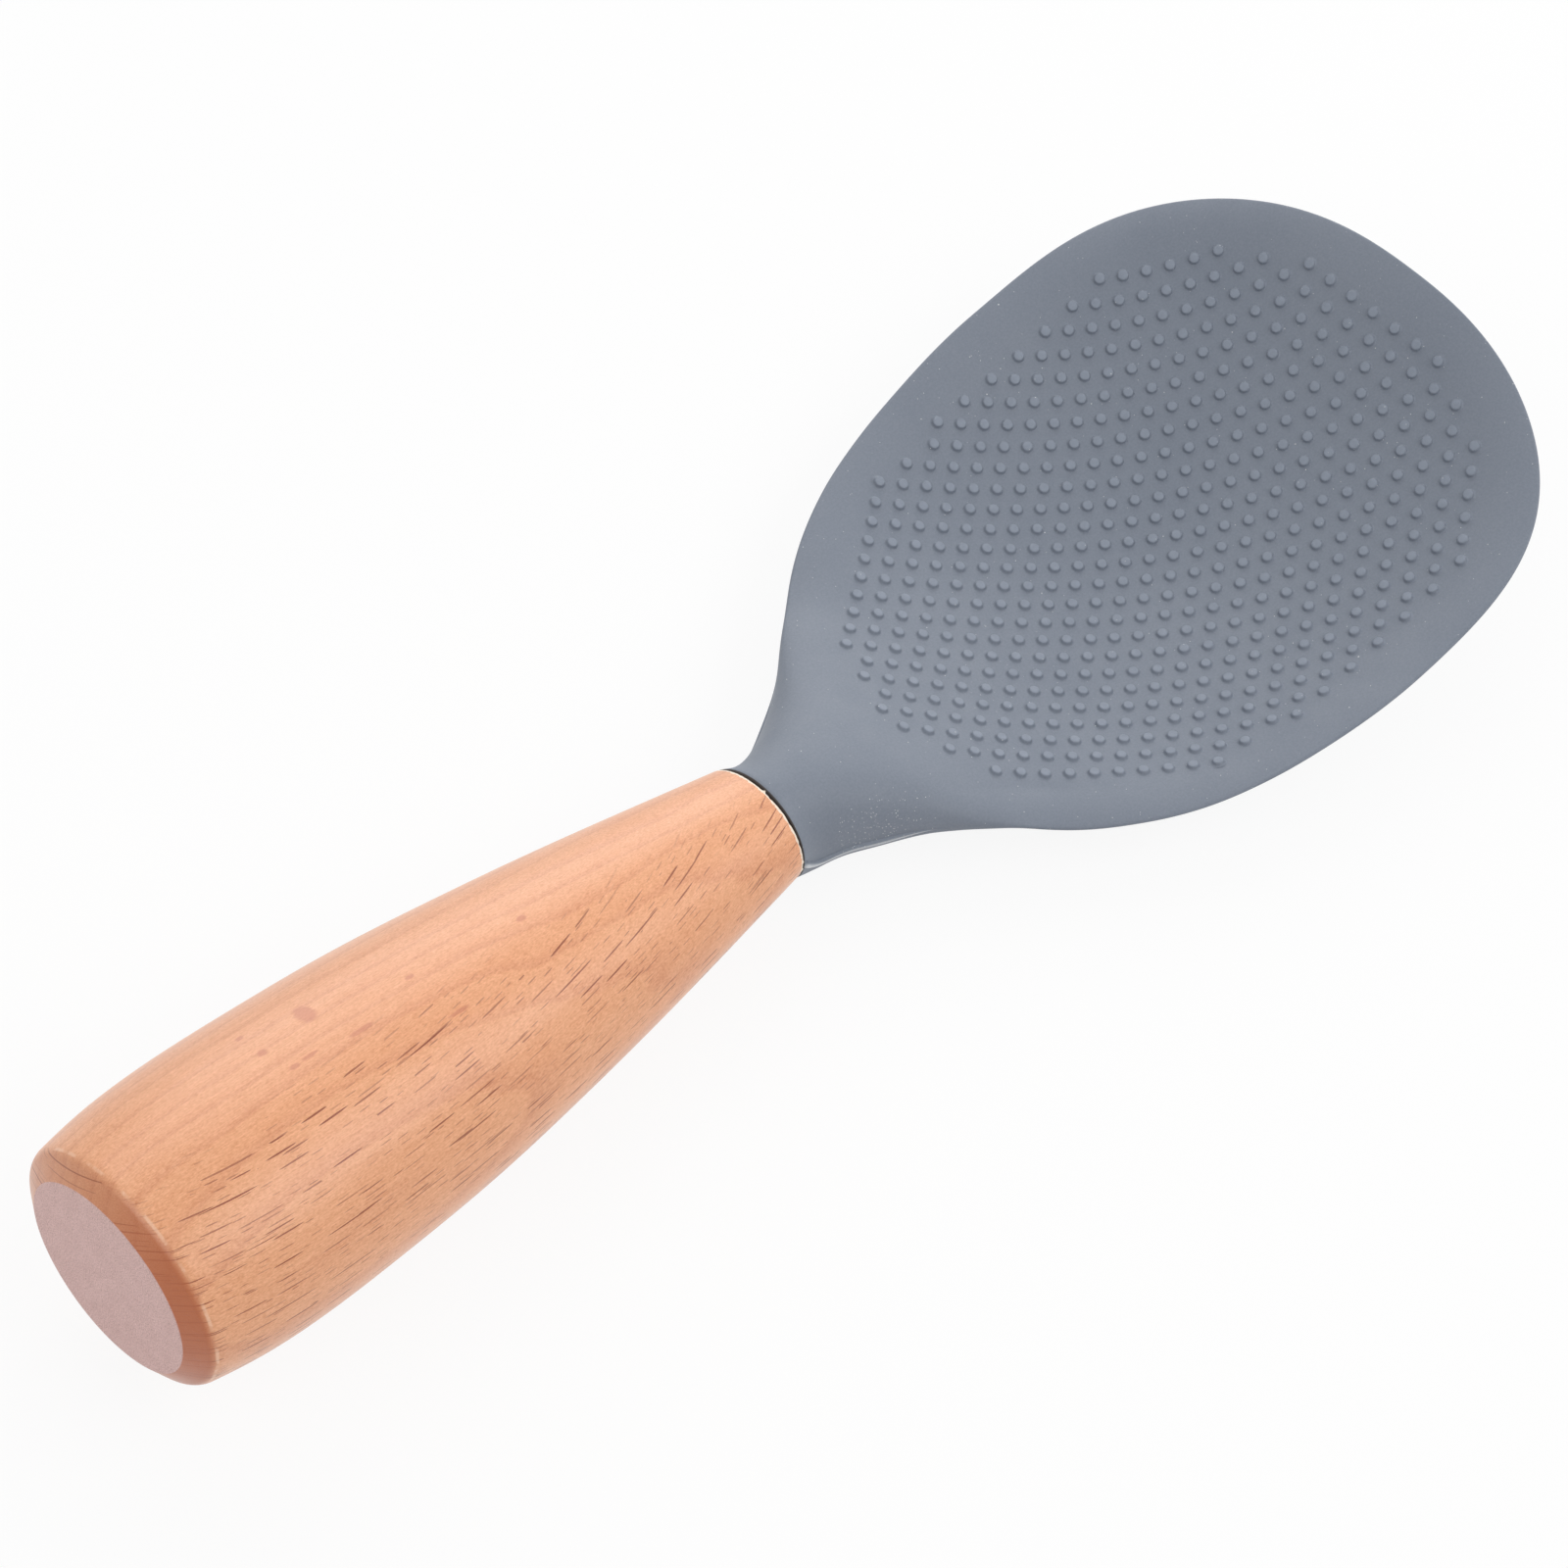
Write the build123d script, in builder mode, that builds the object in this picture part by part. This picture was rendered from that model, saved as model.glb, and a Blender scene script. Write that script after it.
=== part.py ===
"""A rice paddle: a dished silicone blade moulded over a stiff core, glued into a beech handle.

Everything is built in the blade's own frame: x runs from the lowest point of the dish towards
the tip, y across the blade and z up. At the end the paddle is stood on a flat surface, as it lies
in use, with its origin under the middle of its outer size.
"""

import os
from math import cos, floor, radians, sin, sqrt, tan

from build123d import *

# Blade, in millimetres
blade_reach = 51.5
half_width = 38.9
widest_x = 12.5
blade_thickness = 3.2
rim_round = 1.7

# Dish of the blade: radii at its lowest point, and what the tip and the side lips add to them
dish_radius = 67.4
cross_radius = 99.8
cross_flat_x = 45.0
tip_lift = 2.3
side_lift = 2.6

# Field of bumps on the blade's upper face
row_pitch = 2.5
bump_pitch = 3.685
bump_radius = 0.85
bump_sink = 0.3

# Joint between the silicone neck and the handle
joint_back = 65.9
joint_height = 13.1
joint_half_width = 8.25
joint_half_height = 6.85
joint_gap = 0.3

# Handle
handle_tilt = 8.1
handle_length = 98.6
handle_half_width = 17.35
handle_half_height = 15.65
butt_half_width = 12.45
butt_half_height = 11.75
butt_chamfer_depth = 1.3
neck_chamfer = 0.5

# Stiff core inside the silicone, and its tang
blade_skin = 1.0
neck_skin = 2.2
core_margin = 9.0
tang_radius = 4.0
tang_length = 45.0
tang_lead = 1.0
key_groove_depth = 0.6
key_groove_width = 2.5
key_groove_pitch = 9.0
key_grooves = 4
anchor_radius = 3.0
anchor_pitch_x = 14.0
anchor_pitch_y = 15.0
anchor_rows = 3

# Socket in the handle
glue_thickness = 0.25
socket_extra_depth = 3.0
drill_point_angle = 118.0
drill_web_share = 0.05

# Outline behind the widest place: distance back as a share of joint_back, half width as a share
# of half_width. The first six stations are the neck, with the height of their widest line as a
# share of their thickness.
neck_shares = (
    (0.949, 0.209, 0.380),
    (0.892, 0.225, 0.290),
    (0.835, 0.263, 0.270),
    (0.778, 0.318, 0.310),
    (0.721, 0.385, 0.385),
    (0.664, 0.466, 0.450),
)
rear_shares = (
    (0.588, 0.573),
    (0.512, 0.674),
    (0.417, 0.774),
    (0.266, 0.886),
    (0.076, 0.961),
)

# The lowest edge of the root droops below the dish, as shares of the blade's thickness
root_droop_shares = (0.27, 0.08, 0.0, 0.0, 0.0)

# The root of the dish and the neck's end below, as shares of joint_back
root_share = 0.645
neck_end_share = 0.455

# Stations ahead of the widest place: share of the way to the tip
front_shares = (0.0, 0.32, 0.58, 0.77)

# Nose stations: share of the way to the tip, share of the thickness, squareness of the section
nose_shares = (
    (0.872, 1.0, 0.90),
    (0.936, 1.0, 0.80),
    (0.971, 0.98, 0.75),
    (0.9885, 0.75, 0.75),
    (0.9974, 0.35, 0.75),
)

# Handle sections: distance from the butt as a share of its length, then half sizes as shares
body_shares = (
    (0.080, 0.960, 0.965),
    (0.155, 0.994, 0.998),
    (0.300, 0.980, 0.974),
    (0.440, 0.934, 0.920),
    (0.580, 0.847, 0.824),
    (0.720, 0.738, 0.709),
    (0.860, 0.611, 0.575),
)
chamfer_edge_shares = (0.891, 0.902)

# Corners of the bump field: row number, then half steps out from the middle line
field_corners = (
    (-17, 1),
    (-15, 7),
    (-6, 16),
    (-2, 16),
    (-1, 17),
    (11, 17),
    (12, 16),
    (16, 12),
    (18, 6),
)

round_share = 0.75
root_x = -root_share * joint_back
neck_end_x = -neck_end_share * joint_back
small_step = 0.01 * blade_thickness
turn_step = 0.001
tilt = radians(handle_tilt)
handle_axis = Vector(-cos(tilt), 0, sin(tilt))
joint_centre = Vector(-joint_back, 0, joint_height)
across = (0, 1, 0)


def dish(x, y):
    """Height of the blade's upper face."""
    along = x**2 / (2 * dish_radius) + tip_lift * (x / blade_reach) ** 3
    flattening = 1 - (x / cross_flat_x) ** 2
    return along + y**2 / (2 * cross_radius) * flattening + side_lift * (y / half_width) ** 4


def slope_along(x):
    """Slope of the blade's middle line."""
    return (dish(x + small_step, 0) - dish(x - small_step, 0)) / (2 * small_step)


def slope_across(x, y):
    """Slope of the blade's upper face towards its side."""
    return (dish(x, y + small_step) - dish(x, y - small_step)) / (2 * small_step)


def front_width(x, inset):
    """Half width of the outline ahead of its widest place, drawn in by inset."""
    share = (x - widest_x) / (blade_reach - inset - widest_x)
    return (half_width - inset) * (1 - share**3) ** 0.4


def hermite(x, start, start_slope, end, end_slope):
    """Height at x of the smooth curve between two points with given slopes."""
    run = end[0] - start[0]
    t = (x - start[0]) / run
    rise = start[1] * (2 * t**3 - 3 * t**2 + 1) + end[1] * (3 * t**2 - 2 * t**3)
    return rise + run * (start_slope * (t**3 - 2 * t**2 + t) + end_slope * (t**3 - t**2))


def neck_top(x):
    """Height of the neck's upper middle line, from the joint to the root of the dish."""
    start = (-joint_back + joint_half_height * sin(tilt), joint_height + joint_half_height * cos(tilt))
    return hermite(x, start, -sin(tilt), (root_x, dish(root_x, 0)), slope_along(root_x))


def neck_bottom(x):
    """Height of the neck's lower middle line, from the joint to the underside of the dish."""
    start = (-joint_back - joint_half_height * sin(tilt), joint_height - joint_half_height * cos(tilt))
    end = (neck_end_x, dish(neck_end_x, 0) - blade_thickness)
    return hermite(x, start, -sin(tilt), end, slope_along(neck_end_x))


def even_quartic(reach, middle, edge, slope):
    """Control points, across the blade, of a height that is an even quartic."""
    fourth = slope * reach / 2 - (edge - middle)
    second = edge - middle - fourth
    heights = (edge, middle - fourth, middle - second / 3 + fourth, middle - fourth, edge)
    return [(share * reach, height) for share, height in zip((-1, -0.5, 0, 0.5, 1), heights)]


def section(plane, half, flat_half, top, bottom):
    """A closed section of four edges: upper face, side, lower face, side.

    top and bottom each give the height at the middle, the height at flat_half and the slope
    there. The face is put together outside any builder, which would join its smooth edges.
    """
    upper = even_quartic(flat_half, *top)
    lower = even_quartic(flat_half, *bottom)
    upper_way = Vector(1, top[2]).normalized()
    lower_way = Vector(1, bottom[2]).normalized()
    pull = (half - flat_half) / (3 / 8 * (upper_way.X + lower_way.X))
    start = Vector(*upper[-1])
    end = Vector(*lower[-1])
    corners = (start, start + upper_way * pull, end + lower_way * pull, end)
    right = [(corner.X, corner.Y) for corner in corners]
    left = [(-y, z) for y, z in reversed(right)]
    edges = []
    for points in (upper, right, lower[::-1], left):
        edges.append(Bezier(*[plane.from_local_coords((y, z, 0)) for y, z in points]))
    return make_face(edges)


def round_section(plane, half, middle, top, bottom, share=round_share):
    """A section made of quarter ellipses above and below its widest line."""
    drop = sqrt(1 - share**2)
    steep = share / drop
    upper = (top, middle + (top - middle) * drop, -(top - middle) / half * steep)
    lower = (bottom, middle - (middle - bottom) * drop, (middle - bottom) / half * steep)
    return section(plane, half, share * half, upper, lower)


def slab_section(x, half, thickness, centre_bottom, droop, skin, side_round):
    """A section of the dished blade, skin below its upper face, with rounded sides."""
    flat_half = half - side_round
    slope = slope_across(x, flat_half)
    edge = dish(x, flat_half) - droop - skin
    upper = (dish(x, 0) - skin, edge, slope)
    lower = (centre_bottom, edge - thickness, slope)
    return section(upright(x), half, flat_half, upper, lower)


def upright(x):
    """The plane square to the blade at x, with y across and z up."""
    return Plane(origin=(x, 0, 0), x_dir=across, z_dir=(1, 0, 0))


def joint_plane(distance):
    """The plane square to the handle, this far from the joint towards the butt."""
    return Plane(origin=joint_centre + handle_axis * distance, x_dir=across, z_dir=-handle_axis)


def blank(inset, skin, side_skin, joint_shift):
    """Sections of the whole head, drawn in by inset at the rim and by the skins in thickness."""
    thickness = blade_thickness - 2 * skin
    side_round = rim_round * thickness / blade_thickness
    joint_high = joint_half_height - side_skin
    first = joint_plane(joint_shift)
    sections = [round_section(first, joint_half_width - side_skin, 0, joint_high, -joint_high)]
    first_back = neck_shares[0][0]
    for back, half, height in neck_shares:
        x = -back * joint_back
        fade = (first_back - back) / (first_back - rear_shares[0][0])
        thinned = side_skin + (skin - side_skin) * fade
        narrowed = side_skin + (inset - side_skin) * fade
        top = neck_top(x) - thinned
        bottom = neck_bottom(x) + thinned
        middle = bottom + height * (top - bottom)
        sections.append(round_section(upright(x), half * half_width - narrowed, middle, top, bottom))
    for (back, half), droop_share in zip(rear_shares, root_droop_shares):
        x = -back * joint_back
        low = neck_bottom(x) if x < neck_end_x else dish(x, 0) - blade_thickness
        droop = droop_share * blade_thickness
        wide = half * half_width - inset
        sections.append(slab_section(x, wide, thickness, low + skin, droop, skin, side_round))
    nose_run = blade_reach - inset - widest_x
    for share in front_shares:
        x = widest_x + share * nose_run
        low = dish(x, 0) - blade_thickness
        sections.append(slab_section(x, front_width(x, inset), thickness, low + skin, 0, skin, side_round))
    for share, full, squareness in nose_shares:
        x = widest_x + share * nose_run
        half = front_width(x, inset)
        centre = dish(x, 0) - blade_thickness / 2
        middle = centre + dish(x, half) - dish(x, 0)
        swell = full * thickness / 2
        sections.append(round_section(upright(x), half, middle, centre + swell, centre - swell, squareness))
    return sections


def field_half_steps(row):
    """How many half steps from the middle line the bump field reaches in this row."""
    for (low, low_steps), (high, high_steps) in zip(field_corners, field_corners[1:]):
        if low <= row <= high:
            return low_steps + (high_steps - low_steps) * (row - low) / (high - low)
    return 0


def bump_places():
    """Where the bumps stand: rows across the blade, every other row half a pitch aside."""
    places = []
    for row in range(field_corners[0][0], field_corners[-1][0] + 1):
        steps = floor(field_half_steps(row))
        if (steps + row) % 2:
            steps -= 1
        for step in range(-steps, steps + 1, 2):
            x = row * row_pitch
            y = step * bump_pitch / 2
            places.append((x, y, dish(x, y) - bump_sink))
    return places


# Handle: beech, turned to an oval that swells towards the butt, with a blind socket
socket_radius = tang_radius + glue_thickness
socket_depth = tang_length + socket_extra_depth
point_depth = socket_radius / tan(radians(drill_point_angle / 2))
with BuildPart() as handle:
    with BuildSketch(joint_plane(0)):
        Ellipse(joint_half_width, joint_half_height)
    for share, wide, high in reversed(body_shares):
        with BuildSketch(joint_plane((1 - share) * handle_length)):
            Ellipse(wide * handle_half_width, high * handle_half_height)
    chamfer_edge = joint_plane(handle_length - butt_chamfer_depth)
    edge_half_width = chamfer_edge_shares[0] * handle_half_width
    edge_half_height = chamfer_edge_shares[1] * handle_half_height
    with BuildSketch(chamfer_edge):
        Ellipse(edge_half_width, edge_half_height)
    loft()
    with BuildSketch(chamfer_edge):
        Ellipse(edge_half_width, edge_half_height)
    with BuildSketch(joint_plane(handle_length)):
        Ellipse(butt_half_width, butt_half_height)
    loft(ruled=True)
    chamfer(handle.edges().sort_by(Axis.X)[-1], neck_chamfer)
    with BuildSketch(joint_plane(0)):
        Circle(socket_radius)
    extrude(amount=-socket_depth, mode=Mode.SUBTRACT)
    with BuildSketch(joint_plane(socket_depth)):
        Circle(socket_radius)
    with BuildSketch(joint_plane(socket_depth + point_depth)):
        Circle(socket_radius * drill_web_share)
    loft(ruled=True, mode=Mode.SUBTRACT)

# Core: one stiff moulding, a dished plate in the blade, a block in the neck and a tang
core_sections = blank(core_margin, blade_skin, neck_skin, 0)
with BuildPart() as core:
    loft(core_sections, clean=False)
    with BuildSketch(joint_plane(0)):
        Circle(tang_radius)
    extrude(amount=-tang_length)
    chamfer(core.edges().filter_by(GeomType.CIRCLE).sort_by(Axis.X)[0], tang_lead)
    for number in range(1, key_grooves + 1):
        with BuildSketch(joint_plane(number * key_groove_pitch)):
            Circle(tang_radius)
            Circle(tang_radius - key_groove_depth, mode=Mode.SUBTRACT)
        extrude(amount=-key_groove_width, mode=Mode.SUBTRACT)
    with BuildSketch(Plane.XY):
        with GridLocations(anchor_pitch_x, anchor_pitch_y, anchor_rows, anchor_rows):
            Circle(anchor_radius)
    extrude(amount=blade_reach, both=True, mode=Mode.SUBTRACT)

# Glue: the cured film that fills the socket around the tang
with BuildPart() as glue:
    with BuildSketch(joint_plane(0)):
        Circle(socket_radius)
    extrude(amount=-socket_depth)
    add(core.part, mode=Mode.SUBTRACT)

# Head: silicone moulded over the core, with the bump field on its upper face
head_sections = blank(0, 0, 0, -joint_gap)
with BuildPart() as head:
    loft(head_sections, clean=False)
    with Locations(*bump_places()):
        Sphere(bump_radius)
    add(core.part, mode=Mode.SUBTRACT, clean=False)

# Rest: turned about y until the blade's belly and the handle's swell are equally low
turn_low = 0
turn_high = handle_tilt
while turn_high - turn_low > turn_step:
    rest_turn = (turn_low + turn_high) / 2
    lean = tan(radians(rest_turn))
    belly = Vector(-dish_radius * lean, 0, dish(-dish_radius * lean, 0) - blade_thickness)
    belly_low = belly.rotate(Axis.Y, -rest_turn).Z
    handle_box = handle.part.rotate(Axis.Y, -rest_turn).bounding_box()
    if handle_box.min.Z > belly_low:
        turn_low = rest_turn
    else:
        turn_high = rest_turn
tip = Vector(blade_reach, 0, dish(blade_reach, 0) - blade_thickness / 2).rotate(Axis.Y, -rest_turn)
middle_x = (handle_box.min.X + tip.X) / 2
resting = Location((-middle_x, 0, -belly_low)) * Location((0, 0, 0), (0, -rest_turn, 0))
for piece in (handle, core, glue, head):
    piece.part.locate(resting)

os.makedirs("parts", exist_ok=True)
handle.part.label = "beech_handle"
export_step(handle.part, "parts/beech_handle.step")
core.part.label = "core_with_tang"
export_step(core.part, "parts/core_with_tang.step")
glue.part.label = "glue_film"
export_step(glue.part, "parts/glue_film.step")
head.part.label = "silicone_head"
export_step(head.part, "parts/silicone_head.step")
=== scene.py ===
"""The looks of the rice paddle: silicone blade with its bumps, beech handle, floor, light and camera."""

import math

import bpy
import numpy as np
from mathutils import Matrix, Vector


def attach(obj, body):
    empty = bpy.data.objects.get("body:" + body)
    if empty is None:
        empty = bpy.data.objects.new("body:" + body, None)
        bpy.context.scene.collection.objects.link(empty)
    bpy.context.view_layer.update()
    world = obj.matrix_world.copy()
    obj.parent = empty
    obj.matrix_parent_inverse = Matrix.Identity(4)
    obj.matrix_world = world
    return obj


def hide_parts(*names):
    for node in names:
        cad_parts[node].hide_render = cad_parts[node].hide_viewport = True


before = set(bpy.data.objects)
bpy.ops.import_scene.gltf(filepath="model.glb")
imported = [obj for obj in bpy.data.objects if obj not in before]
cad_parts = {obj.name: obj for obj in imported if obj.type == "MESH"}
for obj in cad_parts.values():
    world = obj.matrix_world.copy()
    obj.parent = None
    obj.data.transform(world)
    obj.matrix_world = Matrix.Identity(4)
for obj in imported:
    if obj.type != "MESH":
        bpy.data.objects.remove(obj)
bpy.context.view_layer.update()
MM = 0.001

# How the paddle lies: its own frame turned about y, then shifted onto the floor (degrees, mm)
REST_TURN = 4.658
REST_SHIFT = np.array([58.099, 0.0, 3.415])

# Blade (mm): reach from the dish's lowest point to the tip, half width and where it is widest
REACH = 51.43
HALF = 39.12
WIDEST = 12.5
THICK = 3.19
# Its outline ahead of the widest place is a superellipse with these powers
TIP_POWER_ALONG = 3
TIP_POWER_ACROSS = 2.5
# Dish (mm): radii at its lowest point, where its curve across dies out, extra rise of tip and sides
RADIUS_ALONG = 67.4
RADIUS_ACROSS = 99.8
ACROSS_DIES_OUT = 45.0
TIP_RISE = 2.3
SIDE_RISE = 2.6
# Shoulders (mm): how far their edges droop, and where along x this starts and dies out
DROOP = 0.86
DROOP_START = (-60.0, -45.0)
DROOP_END = (-40.0, -28.0)
# Rim (mm): how far in it starts to thin, how far its face falls below the dish, its lip's thickness
RIM_MARGIN = 6.0
RIM_DROP = 1.55
LIP = 0.5
THINNING_POWER = 1.6
RIM_INSETS = np.array([5.2, 4.3, 3.4, 2.5, 1.8, 1.2, 0.75, 0.42, 0.20, 0.06])

# Bump field (mm): rows across the blade, every other row half a pitch aside
ROW = 2.5
PITCH = 3.685
BUMP_HEIGHT = 0.45
BUMP_SIDES = 20
# A bump stands square to the face as it lies on average this far round it (mm)
BUMP_LEVEL = 0.6
# Bump rings: distance from the middle (mm), share of the height, share of the crown's painted highlight
BUMP_RINGS = (
    (0.27, 1.00, 1.0),
    (0.46, 0.99, 1.0),
    (0.57, 0.96, 0.95),
    (0.64, 0.88, 0.5),
    (0.69, 0.75, 0.15),
    (0.73, 0.57, 0.0),
    (0.765, 0.40, 0.0),
    (0.80, 0.24, 0.0),
    (0.84, 0.11, 0.0),
    (0.90, 0.03, 0.0),
    (0.97, 0.0, 0.0),
    (1.04, -0.08, 0.0),
)
# Corners of the bump field: row number, then half steps out from the middle line
CORNERS = ((-17, 1), (-15, 7), (-6, 16), (-2, 16), (-1, 17), (11, 17), (12, 16), (16, 12), (18, 6))

# Outline behind the widest place: bump rows from the dish's lowest point, half width in rows
BACK_OUTLINE = (
    (-26.36, 3.3),
    (-25, 3.08),
    (-23.5, 3.4),
    (-22, 4.1),
    (-20.5, 4.95),
    (-19, 6.0),
    (-17.5, 7.29),
    (-16, 8.51),
    (-14, 10.14),
    (-12, 11.51),
    (-10, 12.6),
    (-8, 13.46),
    (-6, 14.1),
    (-4, 14.6),
    (-2, 14.98),
    (0, 15.29),
    (2, 15.52),
    (4, 15.635),
    (5, 15.648),
)
# The neck's widest line: bump rows from the dish's lowest point, height (mm)
NECK_LINE = (
    (-26.36, 13.1),
    (-25, 9.52),
    (-23.5, 8.97),
    (-22, 8.87),
    (-20.5, 9.4),
    (-19, 9.7),
    (-17.5, 8.98),
    (-16, 8.67),
    (-14, 8.3),
)

# Neck (mm): where its top meets the dish, where its underside is lowest and where that meets the blade
ROOT = -42.5
DIP = -55.0
DIP_LOW = 5.24
NECK_END = -30.0
# Where the neck's sections turn into the blade's, and where its lean to the joint's plane dies out
NECK_TO_BLADE = (-48.0, -38.0)
LEAN_END = (-65.6, -60.0)
# Its sections are round at the joint, and from there grow this much squarer
SQUARER = 0.2
SQUARER_START = (-65.0, -61.0)
# Ahead of this place (mm) the upper face between the rims is the plain dish
PLAIN_DISH = -27.0

# Joint between the neck and the handle (mm), and the handle's tilt in the blade's frame (degrees)
JOINT = np.array([-65.9, 0.0, 13.1])
JOINT_WIDE = 8.25
JOINT_HIGH = 6.85
GAP = 0.24
EDGE_ROUND = 0.12
TILT = 8.1
LEAN = math.tan(math.radians(TILT))
JOINT_UP = np.array([math.sin(math.radians(TILT)), math.cos(math.radians(TILT))])
TOP_START = JOINT[[0, 2]] + JOINT_HIGH * JOINT_UP
LOW_START = JOINT[[0, 2]] - JOINT_HIGH * JOINT_UP

# The neck's parting ridges (mm): radius, where they thin out and end, how far they lie in and below
RIDGE = 0.5
RIDGE_LEAST = 0.02
RIDGE_THINS = (-55.0, -47.2)
RIDGE_END = -47.0
RIDGE_STEP = 0.4
RIDGE_SIDES = 12
RIDGE_SUNK_SHARE = 0.35
RIDGE_BELOW_SHARE = 0.9
# The ridge is painted pale as a highlight this far up from straight out (degrees), and only where it is
# thick (mm)
HIGHLIGHT_ANGLE = 60
HIGHLIGHT_REACH = 1.6
HIGHLIGHT_RADII = (0.05, 0.2)

# How finely the head is drawn: steps along it (mm), points across, and the fine outline under them
HEAD_STEP = 0.6
HEAD_ACROSS = 96
OUTLINE_STEP = 0.02
TIP_SAMPLES = 6000
TIP_CROWDING = 0.8
# On the neck the upper face reaches out less: this share of its reach on the blade,
# after that is cut to at most this share of the half width
FACE_SHARE = 0.97
FACE_LIMIT_SHARE = 0.93

# Handle (mm)
LENGTH = 98.6
GRIP_WIDE = 17.35
GRIP_HIGH = 15.63
BUTT_WIDE = 12.45
BUTT_HIGH = 11.75
BUTT_ROUND = 0.35
CHAMFER_DEPTH = 1.9
CHAMFER_WIDE = 15.75
CHAMFER_HIGH = 14.3
CHAMFER_ROUND = 1.1
RIM_ROUND = 0.16
SOCKET_RADIUS = 4.25
SOCKET_DEPTH = 48.0
SOCKET_POINT = 2.4
# Handle sections: distance from the butt as a share of the length, then half sizes as shares
BODY_SHARES = (
    (0.080, 0.964, 0.968),
    (0.155, 0.994, 0.998),
    (0.300, 0.980, 0.974),
    (0.440, 0.934, 0.920),
    (0.580, 0.847, 0.824),
    (0.720, 0.738, 0.709),
    (0.860, 0.611, 0.575),
)
# Rings of the drawn handle: shares of the butt's face, then the body's count, how far ahead of the
# chamfer and short of the mouth it runs, and those near the mouth (mm)
BUTT_RING_SHARES = (0.25, 0.5, 0.75)
BODY_RINGS = 190
BODY_START = 1.5
BODY_STOP = 1.2
RIM_RINGS = np.array([0.9, 0.65, 0.45, 0.3])
HANDLE_SIDES = 240
# What a rounding aims at ahead of the chamfer and in from the mouth, and the socket's rim and point (mm)
PAST_CHAMFER = 2.5
INTO_MOUTH = 1
SOCKET_RIM = (0.6, 0.3)
POINT_RADIUS = 0.2
# Roughness of the front rim: its depth, where it comes in short of the mouth (mm), waves round it
CHIPS = 0.035
CHIPPED = (0.35, 0.02)
CHIP_WAVES = range(8, 70)
# Splinters of raw wood at the front rim: degrees round it from +y, length and width (mm)
SPLINTERS = (
    (93, 0.32, 0.30),
    (101, -0.10, 0.5),
    (128, -0.12, 0.7),
    (150, -0.09, 0.6),
    (172, 0.20, 0.35),
    (184, 0.30, 0.40),
)


def turned(points, degrees):
    """Points turned about y."""
    c, s = math.cos(math.radians(degrees)), math.sin(math.radians(degrees))
    x, y, z = np.moveaxis(np.asarray(points, float), -1, 0)
    return np.stack([c * x + s * z, y, c * z - s * x], -1)


def placed(points):
    """Points of the blade's frame as they lie on the floor."""
    return turned(points, -REST_TURN) + REST_SHIFT


# The middle of the butt's face, in the blade's frame and as it lies (mm)
BUTT_PLACE = JOINT - turned((LENGTH, 0, 0), TILT)
BUTT = placed(BUTT_PLACE)


def curve(xs, ys):
    """A smooth function through the points, a natural cubic spline."""
    xs, ys = np.array(xs, float), np.array(ys, float)
    n = len(xs)
    h = np.diff(xs)
    a = np.eye(n)
    b = np.zeros(n)
    for i in range(1, n - 1):
        a[i, i - 1], a[i, i], a[i, i + 1] = h[i - 1], 2 * (h[i - 1] + h[i]), h[i]
        b[i] = 6 * ((ys[i + 1] - ys[i]) / h[i] - (ys[i] - ys[i - 1]) / h[i - 1])
    m = np.linalg.solve(a, b)

    def value(x):
        x = np.clip(np.asarray(x, float), xs[0], xs[-1])
        i = np.clip(np.searchsorted(xs, x) - 1, 0, n - 2)
        t, u = x - xs[i], xs[i + 1] - x
        return (
            (m[i] * u**3 + m[i + 1] * t**3) / (6 * h[i])
            + (ys[i] / h[i] - m[i] * h[i] / 6) * u
            + (ys[i + 1] / h[i] - m[i + 1] * h[i] / 6) * t
        )

    return value


def smooth(x, low, high):
    """0 below low, 1 above high, and a soft step between."""
    t = np.clip((np.asarray(x, float) - low) / (high - low), 0, 1)
    return t * t * (3 - 2 * t)


def unit(vectors):
    return vectors / np.linalg.norm(vectors, axis=-1, keepdims=True)


def dish(x, y):
    """Height of the blade's upper face."""
    along = x**2 / (2 * RADIUS_ALONG) + TIP_RISE * (x / REACH) ** 3
    across = y**2 / (2 * RADIUS_ACROSS) * (1 - (x / ACROSS_DIES_OUT) ** 2)
    return along + across + SIDE_RISE * (y / HALF) ** 4


def normals(height, x, y, e=0.01):
    """Unit normals of a height over x and y, pointing up."""
    dx = (height(x + e, y) - height(x - e, y)) / (2 * e)
    dy = (height(x, y + e) - height(x, y - e)) / (2 * e)
    return unit(np.stack([-dx, -dy, np.ones_like(dx)], -1))


def middle_slope(x, e=0.01):
    """Slope of the dish along its middle line."""
    return float((dish(x + e, 0.0) - dish(x - e, 0.0)) / (2 * e))


back_width = curve(*zip(*BACK_OUTLINE))
neck_middle = curve(*zip(*NECK_LINE))


def hermite(x, start, start_slope, stop, stop_slope):
    """Height at x of the smooth curve between two points with given slopes."""
    run = stop[0] - start[0]
    t = (x - start[0]) / run
    rise = start[1] * (2 * t**3 - 3 * t**2 + 1) + stop[1] * (3 * t**2 - 2 * t**3)
    return rise + run * (start_slope * (t**3 - 2 * t**2 + t) + stop_slope * (t**3 - t**2))


def neck_top(x):
    """Height of the middle line of the neck's top, which runs on as the dish."""
    run = hermite(x, TOP_START, -LEAN, (ROOT, dish(ROOT, 0.0)), middle_slope(ROOT))
    return np.where(x < ROOT, run, dish(x, 0.0))


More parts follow.
